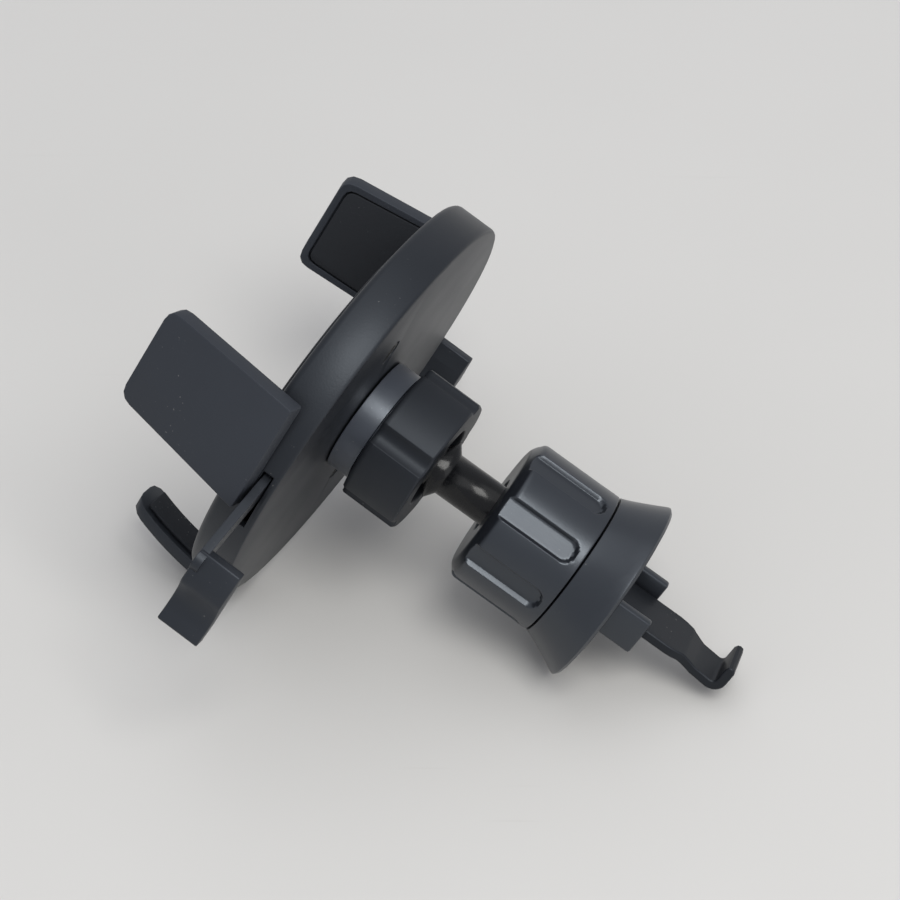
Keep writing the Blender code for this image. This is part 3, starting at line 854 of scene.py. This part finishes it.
@dataclass
class Knob(SubAssembly):
    """The fluted knob that draws the hook in."""

    start: float = 17.7
    end: float = 34.2
    radius: float = 13.4
    face_radius: float = 11.3
    chamfer: float = 1.5
    wall: float = 2.4
    bore: float = 5.1
    pocket: float = 8.6
    pocket_from: float = 3.2
    pocket_to: float = 9.4
    flutes: int = 8
    flute_turn_deg: float = 36.0
    flute_half_mm: float = 2.3
    flute_depth: float = 0.95
    flute_stops: float = 3.2
    flute_end: float = 0.8
    flute_steepness: float = 4.6
    skin: float = 0.2
    spacing: float = 0.36
    corner_steps: int = 7
    segments: int = 384

    def build(self) -> None:
        """Turn the knob with its flutes."""
        inner = self.radius - self.wall
        section = [
            (self.start, self.bore, 0.2),
            (self.start, self.face_radius, 0.7),
            (self.start + self.chamfer, self.radius, 0.7),
            (self.end, self.radius, 0.25),
            (self.end, inner, 0.2),
            (self.start + self.pocket_to, inner, 0.0),
            (self.start + self.pocket_to, self.pocket, 0.0),
            (self.start + self.pocket_from, self.pocket, 0.0),
            (self.start + self.pocket_from, self.bore, 0.0),
        ]
        profile = spaced(rounded_profile(section, self.corner_steps), self.spacing)
        pitch = 360 / self.flutes
        last = self.end - self.flute_stops

        def radius_at(x: float, r: float, angle: float) -> float:
            """Sink each flute into the outer skin."""
            if r < inner + self.skin:
                return r
            offset = (angle - self.flute_turn_deg + pitch / 2) % pitch - pitch / 2
            sideways = radians(offset) * self.radius / self.flute_half_mm
            lengthways = max(0.0, x - last) / (self.flute_half_mm * self.flute_end)
            inside = eased((1 - hypot(sideways, lengthways)) * self.flute_steepness)
            floor = (self.radius - self.flute_depth) / cos(radians(offset))
            return r + (min(r, floor) - r) * inside

        piece = turned("vent_knob_turned", stem_axes(), profile, radius_at, self.segments)
        self.put(piece, "vent_knob", self.finishes.grip)
        self.dress("knob_insert", self.finishes.brass)


# ------------------------------------------------------------------ studio


@dataclass(frozen=True)
class Lamp:
    """A square soft light: where it hangs and its width in metres, its power and its colour."""

    name: str
    place: tuple[float, float, float]
    size: float
    watts: float
    tone: tuple[float, float, float]


@dataclass
class Studio:
    """Pale worktop, soft lights and the camera."""

    azimuth_deg: float = 0.067
    elevation_deg: float = 43.516
    roll_deg: float = -0.097
    distance: float = 0.59839
    aim: tuple[float, float, float] = (0.002479, -0.003535, 0.033574)
    lens_mm: float = 144.7
    sensor_mm: float = 36.0
    floor_width: float = 4.0
    glow: float = 0.6
    glow_tone: tuple[float, float, float, float] = (0.93, 0.95, 1.0, 1.0)
    lamps: tuple[Lamp, ...] = (
        Lamp("window", (0.28, -0.62, 1.10), 0.6, 8.5, (1.0, 0.99, 0.96)),
        Lamp("ceiling", (0.10, 0.10, 1.45), 1.2, 2.6, (1.0, 0.99, 0.98)),
        Lamp("bounce", (0.8, -1.0, 0.5), 0.9, 2.0, (1.0, 0.99, 0.98)),
    )

    def floor(self) -> None:
        """Lay the worktop."""
        bpy.ops.mesh.primitive_plane_add(size=self.floor_width)
        top = bpy.context.active_object
        top.name = "worktop"
        top.data.materials.append(TableTop().make())

    def hang(self, lamp: Lamp) -> None:
        """Hang one soft light that faces the mount."""
        data = bpy.data.lights.new(lamp.name, "AREA")
        data.shape = "SQUARE"
        data.size = lamp.size
        data.energy = lamp.watts
        data.color = lamp.tone
        panel = bpy.data.objects.new(lamp.name, data)
        panel.location = lamp.place
        panel.rotation_euler = (Vector(lamp.place) - Vector(self.aim)).to_track_quat("Z", "Y").to_euler()
        bpy.context.scene.collection.objects.link(panel)

    def lights(self) -> None:
        """Hang the lights and set the room's glow."""
        for lamp in self.lamps:
            self.hang(lamp)
        world = bpy.data.worlds.new("room")
        world.use_nodes = True
        background = world.node_tree.nodes["Background"]
        background.inputs["Color"].default_value = self.glow_tone
        background.inputs["Strength"].default_value = self.glow
        bpy.context.scene.world = world

    def camera(self) -> None:
        """Stand the camera."""
        azimuth, elevation = radians(self.azimuth_deg), radians(self.elevation_deg)
        back = Vector((sin(azimuth) * cos(elevation), -cos(azimuth) * cos(elevation), sin(elevation)))
        data = bpy.data.cameras.new("studio_camera")
        data.lens = self.lens_mm
        data.sensor_width = self.sensor_mm
        view = bpy.data.objects.new("studio_camera", data)
        level = back.to_track_quat("Z", "Y").to_matrix().to_4x4()
        turn = level @ Matrix.Rotation(radians(self.roll_deg), 4, "Z")
        view.matrix_world = Matrix.Translation(Vector(self.aim) + back * self.distance) @ turn
        bpy.context.scene.collection.objects.link(view)
        bpy.context.scene.camera = view

    def build(self) -> None:
        """Set up the studio."""
        self.camera()
        self.floor()
        self.lights()
        bpy.context.scene.view_settings.view_transform = "Standard"


def main() -> None:
    """Build every sub-assembly and the studio."""
    logging.basicConfig(level=logging.INFO, format="%(name)s: %(message)s")
    finishes = Finishes()
    sub_assemblies = [
        Cradle(finishes, "cradle"),
        GripArm(finishes, "arm_carriage_left", side="left"),
        GripArm(finishes, "arm_carriage_right", side="right"),
        SqueezeLever(finishes, "lever_left", side="left"),
        SqueezeLever(finishes, "lever_right", side="right"),
        Foot(finishes, "foot"),
        Gear(finishes, "gear"),
        Seat(finishes, "seat"),
        LockNut(finishes, "nut"),
        Stem(finishes, "stem"),
        Flare(finishes, "flare"),
        Knob(finishes, "knob"),
    ]
    for item in sub_assemblies:
        item.build()
        LOG.info("%s: %d new pieces", type(item).__name__, len(item.pieces))
    Studio().build()


if __name__ == "__main__":
    main()
